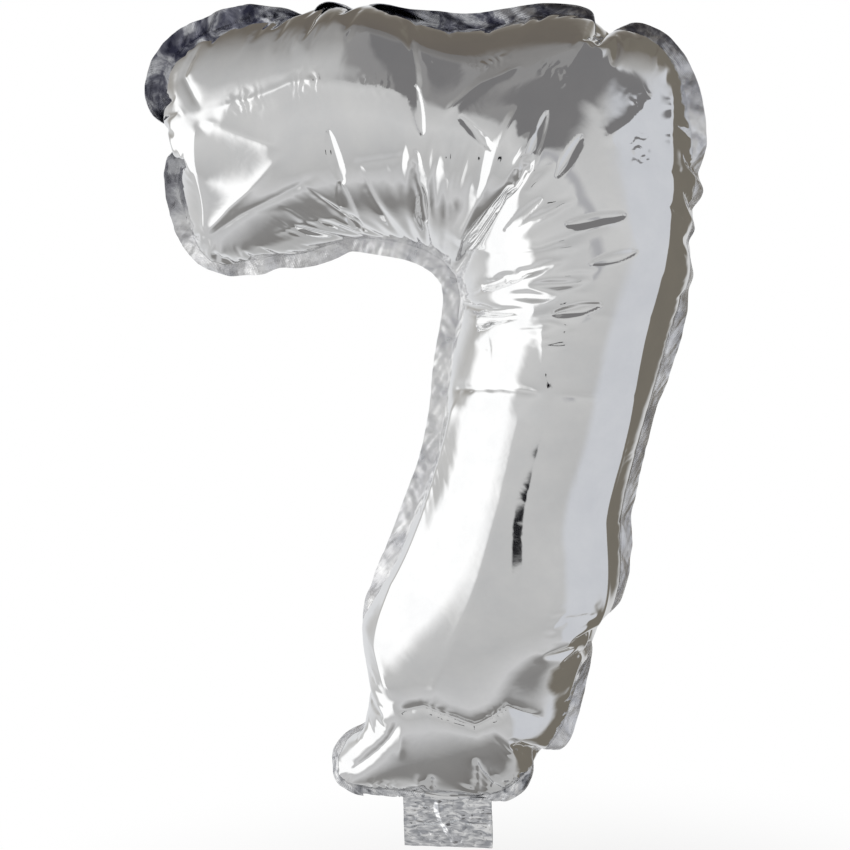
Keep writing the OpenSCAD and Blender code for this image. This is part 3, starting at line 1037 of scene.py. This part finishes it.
def studio_floor():
    """Plain pale floor that fades into the white background."""
    rings, spokes, far = 40, 96, 4.0
    radius = far * (np.arange(1, rings + 1) / rings) ** 2
    around = np.arange(spokes) * 2 * math.pi / spokes
    points = [(0.0, 0.0, 0.0)]
    points += [(r * math.cos(t), r * math.sin(t), 0.0) for r in radius for t in around]
    faces = [(0, 1 + j, 1 + (j + 1) % spokes) for j in range(spokes)]
    for i in range(rings - 1):
        for j in range(spokes):
            a, b = 1 + i * spokes + j, 1 + i * spokes + (j + 1) % spokes
            faces.append((a, a + spokes, b + spokes, b))
    mesh = bpy.data.meshes.new("floor")
    mesh.from_pydata(points, [], faces)
    obj = bpy.data.objects.new("floor", mesh)
    bpy.context.scene.collection.objects.link(obj)
    obj.location = (0, 0, FLOOR_Z)
    material, nodes, shader = new_material("pale_floor")
    shader.inputs["Base Color"].default_value = (0.9, 0.9, 0.9, 1)
    shader.inputs["Roughness"].default_value = 0.7
    place = nodes.node("ShaderNodeTexCoord").outputs["Object"]
    away = nodes.node("ShaderNodeVectorMath", Vector=place)
    away.operation = "LENGTH"
    glow = nodes.node("ShaderNodeEmission")
    glow.inputs["Color"].default_value = (1, 1, 1, 1)
    chosen = nodes.node("ShaderNodeMixShader")
    fade = nodes.math("MULTIPLY_ADD", nodes.smooth(away.outputs["Value"], 0.0, 0.35), 0.55, 0.45)
    nodes.put(chosen.inputs[0], fade)
    nodes.put(chosen.inputs[1], shader.outputs[0])
    nodes.put(chosen.inputs[2], glow.outputs[0])
    output = [n for n in material.node_tree.nodes if n.type == "OUTPUT_MATERIAL"][0]
    nodes.put(output.inputs["Surface"], chosen.outputs[0])
    mesh.materials.append(material)
    obj.visible_glossy = False


def area_light(name, place, aim, size, power):
    data = bpy.data.lights.new(name, "AREA")
    data.energy = power
    data.size = size
    light = bpy.data.objects.new(name, data)
    light.location = place
    light.rotation_euler = (Vector(aim) - Vector(place)).to_track_quat("-Z", "Y").to_euler()
    light.visible_glossy = False
    bpy.context.scene.collection.objects.link(light)


studio_world()
studio_floor()
area_light("overhead_softbox", (-0.3, -0.6, 1.4), (0, 0, FLOOR_Z), 1.2, 22.0)

# ---------------------------------------------------------------- camera
CAMERA_TURN = 13.5        # degrees round the object from the front, towards +X
CAMERA_RISE = 8.0         # degrees above level
CAMERA_ROLL = -1.8        # degrees
CAMERA_FAR = 0.9912       # metres from the target
CAMERA_LENS = 97.0        # mm
TARGET = Vector((-0.0225, 0.0, -0.1838))

turn, rise, roll = (math.radians(v) for v in (CAMERA_TURN, CAMERA_RISE, CAMERA_ROLL))
towards = Vector((math.sin(turn) * math.cos(rise), -math.cos(turn) * math.cos(rise), math.sin(rise)))
right = (-towards).cross(Vector((0, 0, 1))).normalized()
up = right.cross(-towards)
right, up = right * math.cos(roll) + up * math.sin(roll), up * math.cos(roll) - right * math.sin(roll)
camera_data = bpy.data.cameras.new("camera")
camera_data.lens = CAMERA_LENS
camera_data.sensor_width = 36.0
camera = bpy.data.objects.new("camera", camera_data)
axes = Matrix((right, up, towards)).transposed().to_4x4()
camera.matrix_world = Matrix.Translation(TARGET + towards * CAMERA_FAR) @ axes
bpy.context.scene.collection.objects.link(camera)
bpy.context.scene.camera = camera
bpy.context.scene.view_settings.view_transform = "Standard"
